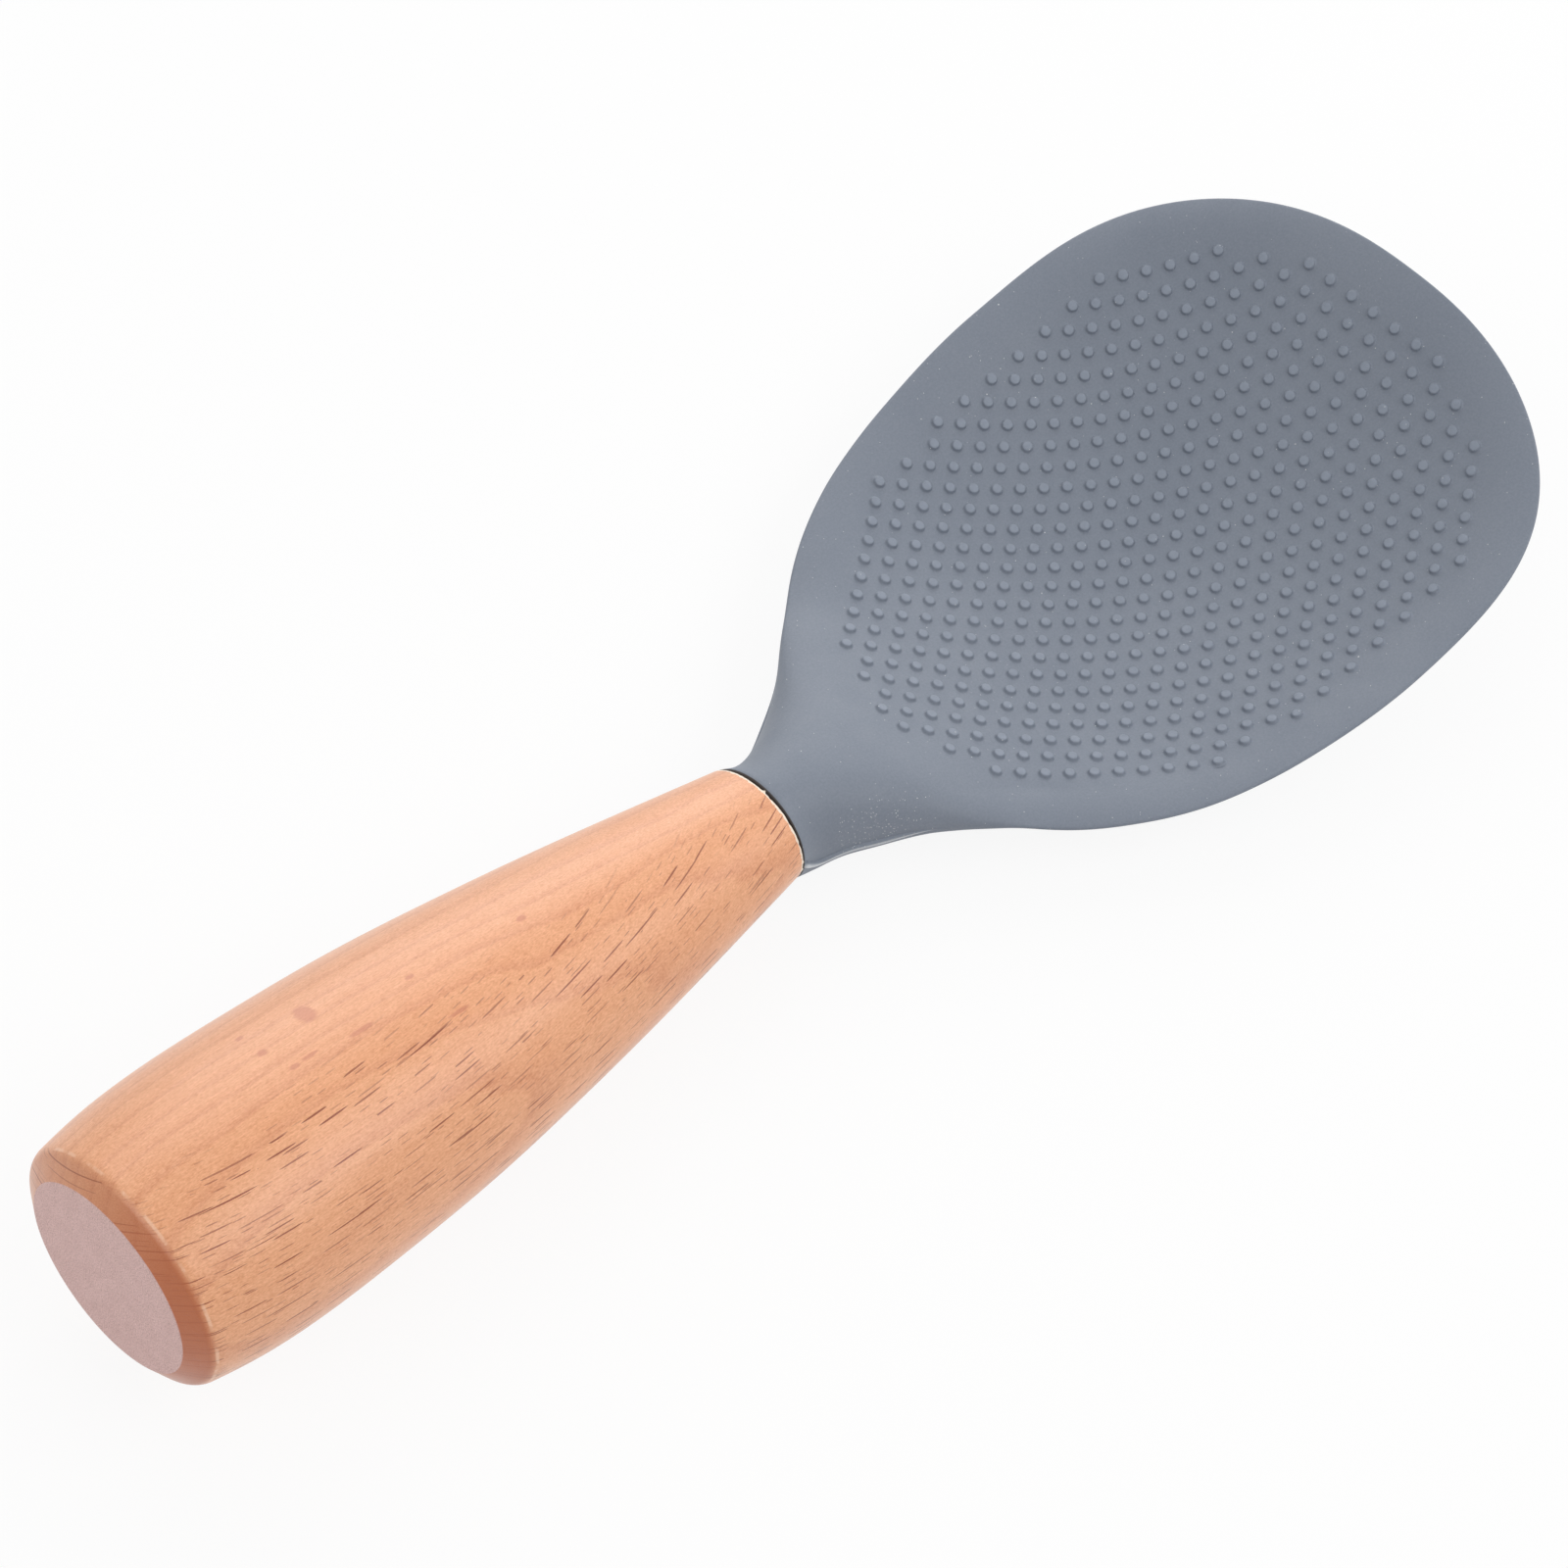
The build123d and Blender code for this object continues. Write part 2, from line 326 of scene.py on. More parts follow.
def neck_bottom(x):
    """Height of the middle line of the neck's underside, which runs on as the blade's."""
    end = (NECK_END, dish(NECK_END, 0.0) - THICK)
    first = hermite(x, LOW_START, -LEAN, (DIP, DIP_LOW), 0.0)
    second = hermite(x, (DIP, DIP_LOW), 0.0, end, middle_slope(NECK_END))
    return np.where(x < DIP, first, np.where(x < NECK_END, second, dish(x, 0.0) - THICK))


def outline():
    """Points (x, half width) along the head's edge from the joint to the tip, evenly spaced."""
    x = np.arange(JOINT[0] + GAP + EDGE_ROUND, WIDEST, OUTLINE_STEP)
    w = back_width(x / ROW) * ROW
    u = np.linspace(0, 1, TIP_SAMPLES)[1:]
    front_w = HALF * np.cos(u * math.pi / 2) ** TIP_CROWDING
    inside = 1 - np.clip(front_w / HALF, 0, 1) ** TIP_POWER_ACROSS
    front_x = WIDEST + (REACH - WIDEST) * inside ** (1 / TIP_POWER_ALONG)
    x, w = np.concatenate([x, front_x]), np.concatenate([w, front_w])
    s = np.concatenate([[0], np.cumsum(np.hypot(np.diff(x), np.diff(w)))])
    at = np.linspace(0, s[-1], int(s[-1] / HEAD_STEP))
    w = np.interp(at, s, w)
    w[-1] = 0
    return np.interp(at, s, x), w


def blade_rows(x, w, cx, cy, out, share):
    """Sections of the dished blade: upper face, thinned rim, lower face and the other rim."""
    droop = (DROOP * (1 - smooth(x, *DROOP_END)) * smooth(x, *DROOP_START))[:, None]
    gx, gy = cx[:, None] + 0 * share, cy[:, None] * share
    up = np.stack([gx, gy, dish(gx, gy) - droop * share**4], -1)
    keel = (neck_bottom(cx) - dish(cx, 0.0) + THICK)[:, None] + droop
    depth = THICK / normals(dish, gx, gy)[..., 2] - keel * (1 - share**2) ** 2
    low = up - np.stack([0 * gx, 0 * gy, depth], -1)
    inset = np.concatenate([RIM_INSETS, [0.0], RIM_INSETS[::-1]])
    below = np.repeat([0.0, 0.5, 1.0], [len(RIM_INSETS), 1, len(RIM_INSETS)])
    px, py = x[:, None] - inset * out[:, :1], w[:, None] - inset * out[:, 1:2]
    thinning = 1 - inset / RIM_MARGIN
    full = THICK / normals(dish, px, py)[..., 2]
    thick = LIP + (full - LIP) * (1 - thinning**THINNING_POWER)
    corner = np.maximum(LIP / 2 - inset, 0)
    rounding = LIP / 2 - np.sqrt((LIP / 2) ** 2 - corner**2)
    height = dish(px, py) - droop - RIM_DROP * thinning**2 - below * thick - (1 - 2 * below) * rounding
    right = np.stack([px, py, height], -1)
    left = right[:, ::-1] * np.array([1, -1, 1])
    return np.concatenate([up, right, low[:, ::-1], left], 1)


def neck_rows(x, w, cy, share):
    """Round sections of the neck, with the same number of points as the blade's."""
    top, bottom, middle = neck_top(x), neck_bottom(x), neck_middle(x / ROW)
    k = 1 / (2 + SQUARER * smooth(x, *SQUARER_START))[:, None]
    flat = np.clip(cy / np.maximum(w, 1e-6), 0, FACE_LIMIT_SHARE) * FACE_SHARE
    ys = share * flat[:, None]
    dome = (1 - np.abs(ys) ** (1 / k)) ** k
    start = np.arccos(flat ** (1 / (2 * k[:, 0])))
    angle = start[:, None] * np.linspace(1, -1, 2 * len(RIM_INSETS) + 3)[1:-1]
    side_y = np.cos(angle) ** (2 * k)
    side_z = np.sign(angle) * np.abs(np.sin(angle)) ** (2 * k)
    lean = LEAN * (1 - smooth(x, *LEAN_END))

    def row(y, z):
        half = np.where(z > 0, (top - middle)[:, None], (middle - bottom)[:, None])
        height = middle[:, None] + half * z
        return np.stack([x[:, None] + (height - JOINT[2]) * lean[:, None], w[:, None] * y, height], -1)

    up, right = row(ys, dome), row(side_y, side_z)
    low, left = row(ys[:, ::-1], -dome[:, ::-1]), row(-side_y[:, ::-1], side_z[:, ::-1])
    return np.concatenate([up, right, low, left], 1)


def head_surface():
    """The silicone without its bumps: rings of points from the joint to the tip."""
    x, w = outline()
    tangent = unit(np.stack([np.gradient(x), np.gradient(w)], -1))
    out = np.stack([-tangent[:, 1], tangent[:, 0]], -1)
    out[-1] = (1, 0)
    cx, cy = x - RIM_MARGIN * out[:, 0], np.maximum(w - RIM_MARGIN * out[:, 1], 0)
    share = np.linspace(-1, 1, HEAD_ACROSS + 1)
    blend = smooth(x, *NECK_TO_BLADE)[:, None, None]
    rows = neck_rows(x, w, cy, share) * (1 - blend) + blade_rows(x, w, cx, cy, out, share) * blend
    # A rounded end at the joint
    middle = rows[0].mean(0)
    end = middle + (rows[0] - middle) * (1 - EDGE_ROUND / JOINT_HIGH) - np.array([EDGE_ROUND, 0, 0])
    return np.concatenate([end[None], rows])


def height_of(surface):
    """The height of the head's upper face as a function of x and y."""
    across = HEAD_ACROSS
    face = surface[1:, : across + 1]
    xs, half, zs = face[:, across // 2, 0], face[:, -1, 1], face[..., 2]

    def height(x, y):
        behind = np.minimum(x, PLAIN_DISH)
        row = np.interp(behind, xs, np.arange(len(xs)))
        column = (y / np.interp(behind, xs, half) + 1) / 2 * across
        i = np.clip(row.astype(int), 0, len(xs) - 2)
        j = np.clip(column.astype(int), 0, across - 1)
        a, b = row - i, column - j
        near = zs[i, j] * (1 - b) + zs[i, j + 1] * b
        far = zs[i + 1, j] * (1 - b) + zs[i + 1, j + 1] * b
        return np.where(x > PLAIN_DISH, dish(x, y), near * (1 - a) + far * a)

    return height


def grid_faces(rows, cols):
    """Quads of a grid of points that is closed round its columns."""
    i, j = np.meshgrid(np.arange(rows - 1), np.arange(cols), indexing="ij")
    k = (j + 1) % cols
    quad = np.stack([i * cols + j, i * cols + k, (i + 1) * cols + k, (i + 1) * cols + j], -1)
    return quad.reshape(-1, 4)


def tube(rings, closed_end=True):
    """Points and faces of a stack of rings, closed by a middle point at the start and, if closed_end is
    set, at the end.
    """
    rows, cols = rings.shape[:2]
    points = np.concatenate([rings.reshape(-1, 3), rings[:1].mean(1)])
    faces = grid_faces(rows, cols).tolist()
    faces += [[(k + 1) % cols, k, rows * cols] for k in range(cols)]
    if closed_end:
        points = np.concatenate([points, rings[-1:].mean(1)])
        last = (rows - 1) * cols
        faces += [[last + k, last + (k + 1) % cols, rows * cols + 1] for k in range(cols)]
    return points, faces


def welded(points, faces):
    """The same shape with points that coincide joined, and without the faces that this flattens."""
    _, kept, same = np.unique(np.round(points, 4), axis=0, return_index=True, return_inverse=True)
    same = same.reshape(-1)
    joined = [list(dict.fromkeys(same[face].tolist())) for face in faces]
    return points[kept], [face for face in joined if len(face) > 2]


def bump_places():
    """Where the bumps stand (x, y): each row is as long as the field's corners allow."""
    rows, ends = zip(*CORNERS)
    places = []
    for row in range(rows[0], rows[-1] + 1):
        steps = int(np.interp(row, rows, ends) + 1e-9)
        steps -= (steps + row) % 2
        places += [(row * ROW, k * PITCH / 2) for k in range(-steps, steps + 1, 2)]
    return np.array(places)


def bump(x0, y0, height):
    """One bump as rings on the face round a place: flat crown, steep side, soft foot."""
    a = np.linspace(0, 2 * math.pi, BUMP_SIDES, endpoint=False)
    radius, share, _ = np.array(BUMP_RINGS).T
    n = normals(height, np.array(x0), np.array(y0), BUMP_LEVEL)
    along = unit(np.cross((0, 1, 0), n))
    offset = radius[:, None, None] * (np.cos(a)[:, None] * along + np.sin(a)[:, None] * np.cross(n, along))
    px, py = x0 + offset[..., 0], y0 + offset[..., 1]
    rings = np.stack([px, py, height(px, py)], -1) + (share * BUMP_HEIGHT)[:, None, None] * n
    crown = np.array([x0, y0, height(np.array(x0), np.array(y0))]) + BUMP_HEIGHT * n
    points = np.concatenate([rings.reshape(-1, 3), crown[None]])
    faces = grid_faces(len(rings), BUMP_SIDES)[:, ::-1].tolist()
    faces += [[k, (k + 1) % BUMP_SIDES, len(points) - 1] for k in range(BUMP_SIDES)]
    return points, faces


def ridge(side):
    """The mould's parting ridge along one side of the neck, thinning out towards the blade."""
    x = np.arange(JOINT[0] + GAP + EDGE_ROUND, RIDGE_END, RIDGE_STEP)
    y, z = back_width(x / ROW) * ROW, neck_middle(x / ROW)
    x = x + (z - JOINT[2]) * LEAN * (1 - smooth(x, *LEAN_END))
    line = np.stack([x, y, z], -1)
    along = unit(np.gradient(line, axis=0))
    out = unit(np.cross(along, (0, 0, 1)) * (-1, -1, 0))
    up = np.cross(out, along)
    radius = RIDGE * (1 - smooth(x, *RIDGE_THINS)) + RIDGE_LEAST
    a = np.linspace(0, 2 * math.pi, RIDGE_SIDES, endpoint=False)
    centre = line - RIDGE_SUNK_SHARE * radius[:, None] * out - RIDGE_BELOW_SHARE * radius[:, None] * up
    rings = centre[:, None] + radius[:, None, None] * (
        np.cos(a)[:, None] * out[:, None] + np.sin(a)[:, None] * up[:, None]
    )
    points, faces = tube(rings)
    # The ridge's upper outer side is painted pale as a highlight
    facing = np.clip(np.cos(a - math.radians(HIGHLIGHT_ANGLE)) * HIGHLIGHT_REACH, 0, 1)
    highlight = np.append(np.outer(smooth(radius, *HIGHLIGHT_RADII), facing), [0, 0])
    if side < 0:
        return points * np.array([1, -1, 1]), [face[::-1] for face in faces], highlight
    return points, faces, highlight


def add_mesh(name, points, faces):
    """A smooth-shaded object from points in mm, as they lie on the floor."""
    data = bpy.data.meshes.new(name)
    data.from_pydata((points * MM).tolist(), [], faces)
    data.validate()
    data.shade_smooth()
    obj = bpy.data.objects.new(name, data)
    bpy.context.scene.collection.objects.link(obj)
    return obj


def make_head():
    """Neck, blade, bumps and ridges, with values at the points for the painted highlights on the bump
    crowns and on the ridges.
    """
    surface = head_surface()
    height = height_of(surface)
    # The tip's last ring lies folded on the middle line and closes by being joined
    skin, skin_faces = welded(*tube(surface[:, ::-1], closed_end=False))
    shells = [(skin, skin_faces, np.zeros(len(skin)), np.zeros(len(skin)))]
    # A bump's crown is painted lighter, as a highlight
    crown_highlight = np.append(np.repeat([ring[2] for ring in BUMP_RINGS], BUMP_SIDES), 1.0)
    for x, y in bump_places():
        shells.append((*bump(x, y, height), crown_highlight, 0 * crown_highlight))
    for side in (-1, 1):
        points, faces, highlight = ridge(side)
        shells.append((points, faces, 0 * highlight, highlight))
    points = np.concatenate([shell[0] for shell in shells])
    starts = np.cumsum([0] + [len(shell[0]) for shell in shells]).tolist()
    faces = [[i + start for i in face] for start, shell in zip(starts, shells) for face in shell[1]]
    head = add_mesh("silicone_blade", placed(points), faces)
    # Point values: the bump crowns' painted highlight, then the ridges' painted highlight
    for name, column in (("crown", 2), ("ridge_highlight", 3)):
        values = head.data.attributes.new(name, "FLOAT", "POINT")
        values.data.foreach_set("value", np.concatenate([shell[column] for shell in shells]))
    return head


def rounded(before, corner, after, cut, steps=6):
    """Rings that round the corner of a profile, each (x, half width, half height)."""
    before, corner, after = np.array(before), np.array(corner), np.array(after)
    start = corner + (before - corner) * min(1, cut / np.linalg.norm(before - corner))
    end = corner + (after - corner) * min(1, cut / np.linalg.norm(after - corner))
    return [(1 - t) ** 2 * start + 2 * t * (1 - t) * corner + t**2 * end for t in np.linspace(0, 1, steps)]


def handle_profile():
    """Rings (distance from the butt, half width, half height), from the butt to the socket's point."""
    at = [CHAMFER_DEPTH] + [share * LENGTH for share, _, _ in BODY_SHARES] + [LENGTH]
    wide = curve(at, [CHAMFER_WIDE] + [w * GRIP_WIDE for _, w, _ in BODY_SHARES] + [JOINT_WIDE])
    high = curve(at, [CHAMFER_HIGH] + [h * GRIP_HIGH for _, _, h in BODY_SHARES] + [JOINT_HIGH])

    def body(x):
        return (x, float(wide(x)), float(high(x)))

    rings = [(0.0, BUTT_WIDE * share, BUTT_HIGH * share) for share in BUTT_RING_SHARES]
    face = (0.0, BUTT_WIDE, BUTT_HIGH)
    rings += rounded(rings[-1], face, body(CHAMFER_DEPTH), BUTT_ROUND)
    rings += rounded(face, body(CHAMFER_DEPTH), body(CHAMFER_DEPTH + PAST_CHAMFER), CHAMFER_ROUND, 9)
    rings += [body(x) for x in np.linspace(CHAMFER_DEPTH + BODY_START, LENGTH - BODY_STOP, BODY_RINGS)]
    rings += [body(x) for x in LENGTH - RIM_RINGS]
    mouth = (LENGTH, JOINT_WIDE, JOINT_HIGH)
    mouth_face = (LENGTH, JOINT_WIDE - INTO_MOUTH, JOINT_HIGH - INTO_MOUTH)
    rings += rounded(rings[-1], mouth, mouth_face, RIM_ROUND, 5)
    rings.append((LENGTH, SOCKET_RADIUS + SOCKET_RIM[0], SOCKET_RADIUS + SOCKET_RIM[1]))
    rings.append((LENGTH, SOCKET_RADIUS, SOCKET_RADIUS))
    rings.append((LENGTH - SOCKET_DEPTH, SOCKET_RADIUS, SOCKET_RADIUS))
    rings.append((LENGTH - SOCKET_DEPTH - SOCKET_POINT, POINT_RADIUS, POINT_RADIUS))
    return np.array(rings)


def rim_roughness(a):
    """How far the wood's front rim stands proud at each angle round it: fine chips and splinters."""
    rng = np.random.default_rng(5)
    rough = sum(rng.normal() * np.cos(k * a + rng.uniform(0, 2 * math.pi)) / k**0.5 for k in CHIP_WAVES)
    rough *= CHIPS / np.abs(rough).max()
    for degrees, proud, width in SPLINTERS:
        away = (a - math.radians(degrees) + math.pi) % (2 * math.pi) - math.pi
        rough += proud * np.exp(-((away * JOINT_WIDE / width * 2) ** 2))
    return rough


def make_handle():
    """The beech handle with its socket and its rough front rim."""
    a = np.linspace(0, 2 * math.pi, HANDLE_SIDES, endpoint=False)
    profile = handle_profile()
    at, wide, high = profile[:, :1], profile[:, 1:2], profile[:, 2:]
    rings = np.stack([at + 0 * a, wide * np.cos(a), high * np.sin(a)], -1)
    near_rim = smooth(at, *(LENGTH - np.array(CHIPPED))) * (wide > JOINT_WIDE - 0.5)
    rings[..., 0] += near_rim * rim_roughness(a)
    points, faces = tube(rings)
    return add_mesh("lacquered_grip", placed(turned(points, TILT) + BUTT_PLACE), faces)


head = make_head()
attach(head, "root")
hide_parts("silicone_head")
handle = make_handle()
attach(handle, "root")
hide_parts("beech_handle")


# Helpers that make shader nodes and give back their outputs
def material(name):
    mat = bpy.data.materials.new(name)
    mat.use_nodes = True
    tree = mat.node_tree
    return mat, tree, tree.nodes["Principled BSDF"]


def plug(tree, socket, value):
    """Links a socket, or sets a colour, vector or number, into an input."""
    if isinstance(value, bpy.types.NodeSocket):
        tree.links.new(value, socket)
    elif isinstance(value, tuple) and len(socket.default_value) == 4:
        socket.default_value = (*value, 1)
    else:
        socket.default_value = value


def maths(tree, what, a, b=0.5):
    made = tree.nodes.new("ShaderNodeMath")
    made.operation = what
    plug(tree, made.inputs[0], a)
    plug(tree, made.inputs[1], b)
    return made.outputs[0]


def plus(tree, a, b):
    return maths(tree, "ADD", a, b)


def minus(tree, a, b):
    return maths(tree, "SUBTRACT", a, b)


def times(tree, a, b):
    return maths(tree, "MULTIPLY", a, b)


def vectors(tree, what, a, b):
    made = tree.nodes.new("ShaderNodeVectorMath")
    made.operation = what
    plug(tree, made.inputs[0], a)
    plug(tree, made.inputs[1], b)
    return made.outputs["Value"] if what in ("LENGTH", "DOT_PRODUCT") else made.outputs[0]


def length(tree, vector):
    return vectors(tree, "LENGTH", vector, (0.0, 0.0, 0.0))


def channels(tree, vector):
    """The three numbers of a vector."""
    made = tree.nodes.new("ShaderNodeSeparateXYZ")
    tree.links.new(vector, made.inputs[0])
    return made.outputs


def ramp(tree, source, *stops):
    """A colour, or a grey, that follows the source through these stops (place, colour)."""
    made = tree.nodes.new("ShaderNodeValToRGB")
    bar = made.color_ramp
    while len(bar.elements) < len(stops):
        bar.elements.new(0.5)
    for element, (at, colour) in zip(bar.elements, stops):
        element.position = at
        element.color = (*colour, 1) if isinstance(colour, tuple) else (colour, colour, colour, 1)
    tree.links.new(source, made.inputs["Fac"])
    return made.outputs["Color"]


def spread(tree, source, low, high, edge=0.3):
    """A ramp over the values that a noise mostly takes, which lie evenly about a half."""
    return ramp(tree, source, (edge, low), (1 - edge, high))


def step(tree, source, low, high):
    """A soft step from 0 at low to 1 at high, or the other way round."""
    made = tree.nodes.new("ShaderNodeMapRange")
    made.interpolation_type = "SMOOTHSTEP"
    rising = low < high
    plug(tree, made.inputs["Value"], source)
    made.inputs["From Min"].default_value = low if rising else high
    made.inputs["From Max"].default_value = high if rising else low
    made.inputs["To Min"].default_value = 0.0 if rising else 1.0
    made.inputs["To Max"].default_value = 1.0 if rising else 0.0
    return made.outputs["Result"]


def mix(tree, fac, a, b):
    made = tree.nodes.new("ShaderNodeMix")
    made.data_type = "RGBA"
    plug(tree, made.inputs[0], fac)
    plug(tree, made.inputs[6], a)
    plug(tree, made.inputs[7], b)
    return made.outputs[2]


def attribute(tree, name):
    """A value kept at the mesh's points."""
    made = tree.nodes.new("ShaderNodeAttribute")
    made.attribute_name = name
    return made.outputs["Fac"]


def own_frame(tree, origin, turn):
    """Coordinates in mm in a frame with this origin on the floor, turned about y (degrees)."""
    coords = tree.nodes.new("ShaderNodeTexCoord")
    mapping = tree.nodes.new("ShaderNodeMapping")
    mapping.inputs["Scale"].default_value = [1 / MM] * 3
    mapping.inputs["Rotation"].default_value = (0, math.radians(turn), 0)
    mapping.inputs["Location"].default_value = -turned(origin, turn)
    tree.links.new(coords.outputs["Object"], mapping.inputs["Vector"])
    return mapping.outputs["Vector"]


def sized(tree, vector, *sizes):
    """The vector measured in units of these sizes (mm), so that a pattern gets that size."""
    return vectors(tree, "DIVIDE", vector, sizes if len(sizes) == 3 else sizes * 3)


def noise(tree, vector, detail=2.0, rough=0.5):
    made = tree.nodes.new("ShaderNodeTexNoise")
    made.inputs["Scale"].default_value = 1.0
    made.inputs["Detail"].default_value = detail
    made.inputs["Roughness"].default_value = rough
    tree.links.new(vector, made.inputs["Vector"])
    return made.outputs["Fac"]


def cells(tree, vector):
    """Voronoi cells: the distance to the nearest point, its place, and three random numbers of it."""
    made = tree.nodes.new("ShaderNodeTexVoronoi")
    made.inputs["Scale"].default_value = 1.0
    tree.links.new(vector, made.inputs["Vector"])
    split = tree.nodes.new("ShaderNodeSeparateColor")
    tree.links.new(made.outputs["Color"], split.inputs[0])
    return made.outputs["Distance"], made.outputs["Position"], split.outputs


def relief(tree, bsdf, height, strength, distance):
    made = tree.nodes.new("ShaderNodeBump")
    made.inputs["Strength"].default_value = strength
    made.inputs["Distance"].default_value = distance * MM
    tree.links.new(height, made.inputs["Height"])
    tree.links.new(made.outputs["Normal"], bsdf.inputs["Normal"])


# Silicone: its colours
GREY_DARK = (0.174, 0.204, 0.258)
GREY_LIGHT = (0.196, 0.226, 0.280)
# Painted highlight on the bump crowns
CROWN_HIGHLIGHT_GREY = (0.240, 0.274, 0.335)
# Painted highlight on the ridges' upper outer sides
RIDGE_HIGHLIGHT_GREY = (0.70, 0.73, 0.76)
LINT_WHITE = (0.78, 0.79, 0.79)
# Painted shade in the gap at the joint
JOINT_SHADE = (0.045, 0.035, 0.032)
# Size of its clouds, fine speckle, patches of the crowns' painted highlight and uneven gloss (mm)
CLOUD_SIZE = 26.0
SPECKLE_SIZE = 0.28
CROWN_HIGHLIGHT_PATCH_SIZE = 0.9
GLOSS_SIZE = 4.0
# Lint: middle and half sizes of its thickest patch on the neck's near side (mm)
LINT_PLACE = (-55.0, -9.8, 11.8)
LINT_SIZES = (7.0, 5.0, 5.0)
# Share of the cells with a speck: everywhere, and more in the patch
LINT_SHARE = 0.010
PATCH_SHARE = 0.42
# Layers of specks: size of their cells (mm), radius as a share of it
LINT_LAYERS = ((0.24, 0.30), (0.40, 0.22), (1.9, 0.07))
# Width of the painted line of shade at the joint (mm)
JOINT_SHADE_WIDTH = 0.08


def linted(tree, place, colour):
    """The colour with white specks of lint, thickest on the neck's near side."""
    from_patch = sized(tree, vectors(tree, "SUBTRACT", place, LINT_PLACE), *LINT_SIZES)
    thick = step(tree, length(tree, from_patch), 1.2, 0.1)
    amount = plus(tree, times(tree, thick, PATCH_SHARE), LINT_SHARE)
    for size, radius in LINT_LAYERS:
        distance, _, random = cells(tree, sized(tree, place, size))
        spot = step(tree, distance, radius, radius * 0.5)
        shown = maths(tree, "LESS_THAN", random[0], amount)
        bright = times(tree, times(tree, spot, shown), random[1])
        colour = mix(tree, bright, colour, LINT_WHITE)
    return colour


def silicone_material():
    """Matte slate-grey silicone: faint clouds, painted highlights on the bump crowns and the ridges, lint
    on the neck, painted shade at the joint.
    """
    mat, tree, bsdf = material("slate_silicone")
    place = own_frame(tree, REST_SHIFT, REST_TURN)
    colour = spread(tree, noise(tree, sized(tree, place, CLOUD_SIZE), 3), GREY_DARK, GREY_LIGHT)
    fine = noise(tree, sized(tree, place, SPECKLE_SIZE), 2)
    colour = mix(tree, 0.12, colour, spread(tree, fine, 0.11, 0.33))
    highlight_patches = spread(tree, noise(tree, sized(tree, place, CROWN_HIGHLIGHT_PATCH_SIZE), 2), 0.55, 1.0)
    # The bump crowns painted lighter in patches, as a highlight
    colour = mix(tree, times(tree, attribute(tree, "crown"), highlight_patches), colour, CROWN_HIGHLIGHT_GREY)
    # The ridges' upper outer sides painted pale, as a highlight
    colour = mix(tree, attribute(tree, "ridge_highlight"), colour, RIDGE_HIGHLIGHT_GREY)
    colour = linted(tree, place, colour)
    # A painted line of shade in the gap at the joint's very end
    along = channels(tree, own_frame(tree, BUTT, REST_TURN - TILT))[0]
    end = LENGTH + GAP + EDGE_ROUND
    colour = mix(tree, step(tree, along, end + JOINT_SHADE_WIDTH, end), colour, JOINT_SHADE)
    tree.links.new(colour, bsdf.inputs["Base Color"])
    uneven = spread(tree, noise(tree, sized(tree, place, GLOSS_SIZE), 3), 0.50, 0.60)
    tree.links.new(uneven, bsdf.inputs["Roughness"])
    bsdf.inputs["Specular IOR Level"].default_value = 0.45
    bsdf.inputs["Sheen Weight"].default_value = 0.05
    relief(tree, bsdf, fine, 0.12, 0.05)
    return mat


# Beech: rays lie in planes through the pith, which is this far round from the handle's top (degrees)
PITH = 62.0
# Direction across the rays, where they lie flat in the surface
RAY_FLAT = (0.0, math.cos(math.radians(PITH)), math.sin(math.radians(PITH)))
# The grain bows sideways from its straightest place (mm) by this much per mm squared
BOW = 0.00135
BOW_MIDDLE = 34.0
# Growth rings: width, sway and the sway's size along and across the grain (mm)
RING_WIDTH = 2.9
RING_SWAY = 5.0
SWAY_SIZES = (45.0, 9.0, 9.0)
# Shares of a ring, with its colour there
RING_STOPS = (
    (0.0, (0.97, 0.415, 0.185)),
    (0.62, (0.94, 0.370, 0.152)),
    (0.92, (0.66, 0.170, 0.050)),
    (1.0, (0.93, 0.37, 0.155)),
)
CLOUD_SIZES = (30.0, 7.0, 7.0)
CLOUD_COLOURS = ((0.90, 0.312, 0.120), (0.98, 0.440, 0.225))
FIBRE_SIZES = (5.0, 0.16, 0.16)
# Layers of grain: size along and across it (mm), noise detail and roughness, share, two colours
GRAIN_LAYERS = (
    ((26.0, 1.1, 1.1), 4, 0.6, 0.32, (0.70, 0.285, 0.120), (0.90, 0.48, 0.27)),
    (FIBRE_SIZES, 2, 0.5, 0.30, (0.52, 0.20, 0.085), (1.0, 0.58, 0.36)),
    ((0.40, 0.16, 0.16), 2, 0.5, 0.28, (0.45, 0.17, 0.07), (1.0, 0.62, 0.40)),
)
# Ray dashes: size of their cells (mm), slenderness, share of the cells with a dash, strength
DASH_LAYERS = (
    ((6.0, 0.95, 14.0), 4.2, 0.36, 1.0),
    ((10.0, 1.6, 14.0), 7.4, 0.24, 1.0),
    ((2.4, 0.62, 8.0), 3.8, 0.32, 0.65),
)
DASH_BROWN = (0.23, 0.030, 0.002)
